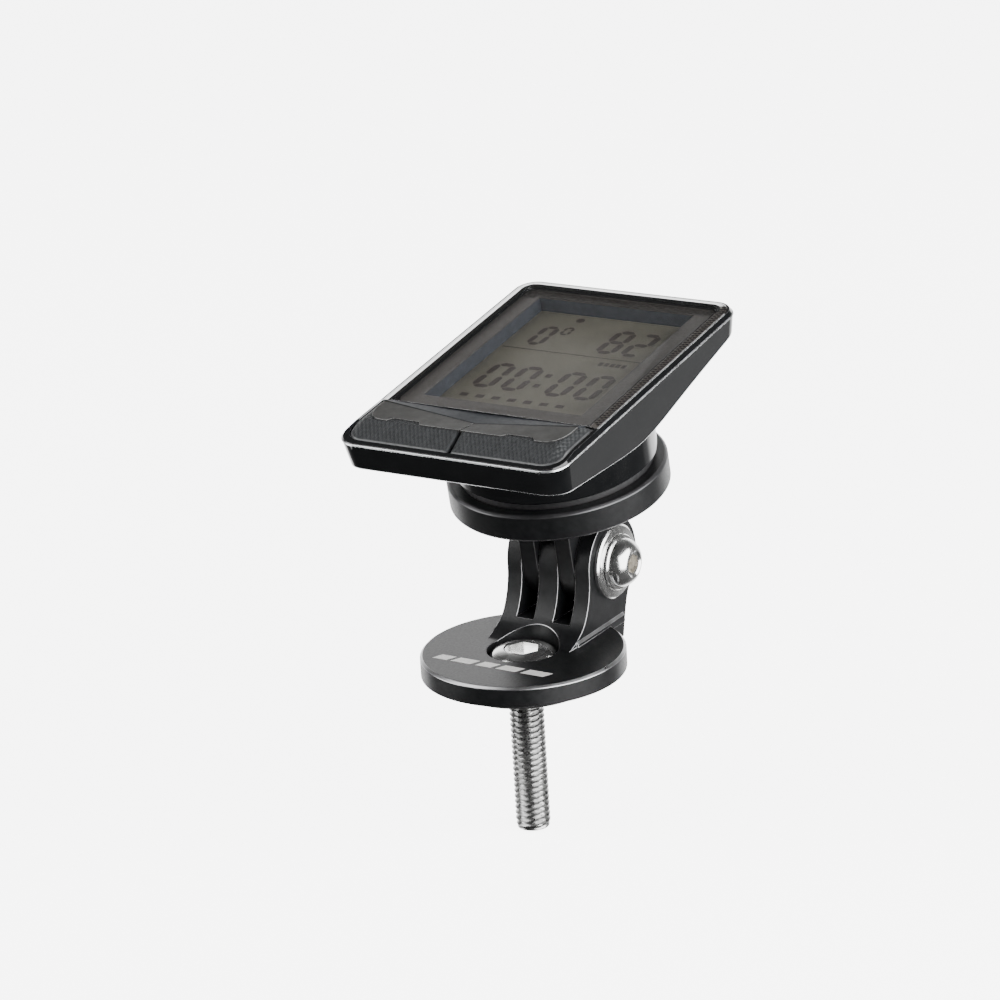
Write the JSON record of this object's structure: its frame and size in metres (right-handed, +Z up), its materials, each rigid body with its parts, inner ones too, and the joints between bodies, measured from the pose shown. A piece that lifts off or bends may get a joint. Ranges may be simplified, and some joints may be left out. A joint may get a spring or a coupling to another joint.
{
  "type": "cycling computer",
  "caption": "Handlebar display computer with two keys and a clear-windowed screen, turned onto a tilting fork mount that bolts over a bicycle's steerer in place of the stem cap.",
  "frame": {"origin": "centre of the stem cap's underside, on the steerer's axis", "axes": "+Z up along the steerer, +Y to the front of the bicycle, +X to the rider's right"},
  "size_m": [0.0428, 0.0617, 0.0833],
  "materials": {
    "anodised_black": "satin black anodised, fine bead-blasted grain",
    "bright_steel": "polished stainless",
    "gloss_black": "gloss",
    "dock_plastic": "matt glass-filled nylon",
    "clear_lens": "clear polished acrylic",
    "mask_print": "printed border",
    "bezel_blue_grey": "satin",
    "lcd": "reflective liquid-crystal grey",
    "accent": "blue-grey satin",
    "key_pad": "fine moulded weave",
    "key_panel": "smooth satin grey",
    "seal_rubber": "matt silicone",
    "screw_steel": "plain",
    "board_green": "solder mask",
    "chip_black": "moulded epoxy",
    "cell_steel": "nickel-plated",
    "spring_brass": "gold-flashed spring",
    "light_plastic": "milky acrylic"
  },
  "bodies": {
    "base": {"stem_cap": "anodised_black", "cap_bolt": "bright_steel", "hinge_bolt": "bright_steel", "hinge_washer": "bright_steel", "hinge_nut": "bright_steel"},
    "dock": {"dock_plate": "anodised_black", "dock_insert": "dock_plastic", "insert_screws": "screw_steel"},
    "computer": {"rear_case": "gloss_black", "front_case": "gloss_black", "case_screws": "screw_steel", "case_gasket": "seal_rubber", "display_lens": "clear_lens", "window_mask": "mask_print", "lcd_bezel": "bezel_blue_grey", "lcd_glass": "lcd", "light_guide": "light_plastic", "zebra_connector": "seal_rubber", "accent_trim": "accent", "key_seal": "seal_rubber", "key_switch_right": "chip_black", "key_switch_left": "chip_black", "circuit_board": "board_green", "board_screws": "screw_steel", "main_chip": "chip_black", "radio_module": "chip_black", "backlight_led": "light_plastic", "board_passives": "chip_black", "quartz_crystal": "cell_steel", "battery": "cell_steel", "battery_contact_negative": "spring_brass", "battery_contact_positive": "spring_brass"},
    "right_key": {"button_right": "key_pad", "button_inlay_right": "key_panel", "switch_plunger_right": "light_plastic"},
    "left_key": {"button_left": "key_pad", "button_inlay_left": "key_panel", "switch_plunger_left": "light_plastic"},
    "battery_door": {"battery_cover": "dock_plastic", "cover_o_ring": "seal_rubber"}
  },
  "joints": [
    {"name": "dock_tilt", "type": "hinge", "parent": "base", "child": "dock", "pos_m": [0, 0.0172, 0.0145], "axis": [1, 0, 0], "range_deg": [-45, 40]},
    {"name": "quarter_turn", "type": "hinge", "parent": "dock", "child": "computer", "pos_m": [0, 0.01397, 0.03197], "axis": [0, -0.1609, 0.987], "range_deg": [0, 90]},
    {"name": "right_key_press", "type": "slide", "parent": "computer", "child": "right_key", "axis": [0, 0.1609, -0.987], "range_m": [0, 0.0004], "stiffness_N_per_m": 2000},
    {"name": "left_key_press", "type": "slide", "parent": "computer", "child": "left_key", "axis": [0, 0.1609, -0.987], "range_m": [0, 0.0004], "stiffness_N_per_m": 2000},
    {"name": "battery_door_turn", "type": "hinge", "parent": "computer", "child": "battery_door", "pos_m": [0, 0.01397, 0.03197], "axis": [0, -0.1609, 0.987], "range_deg": [0, 50]}
  ]
}
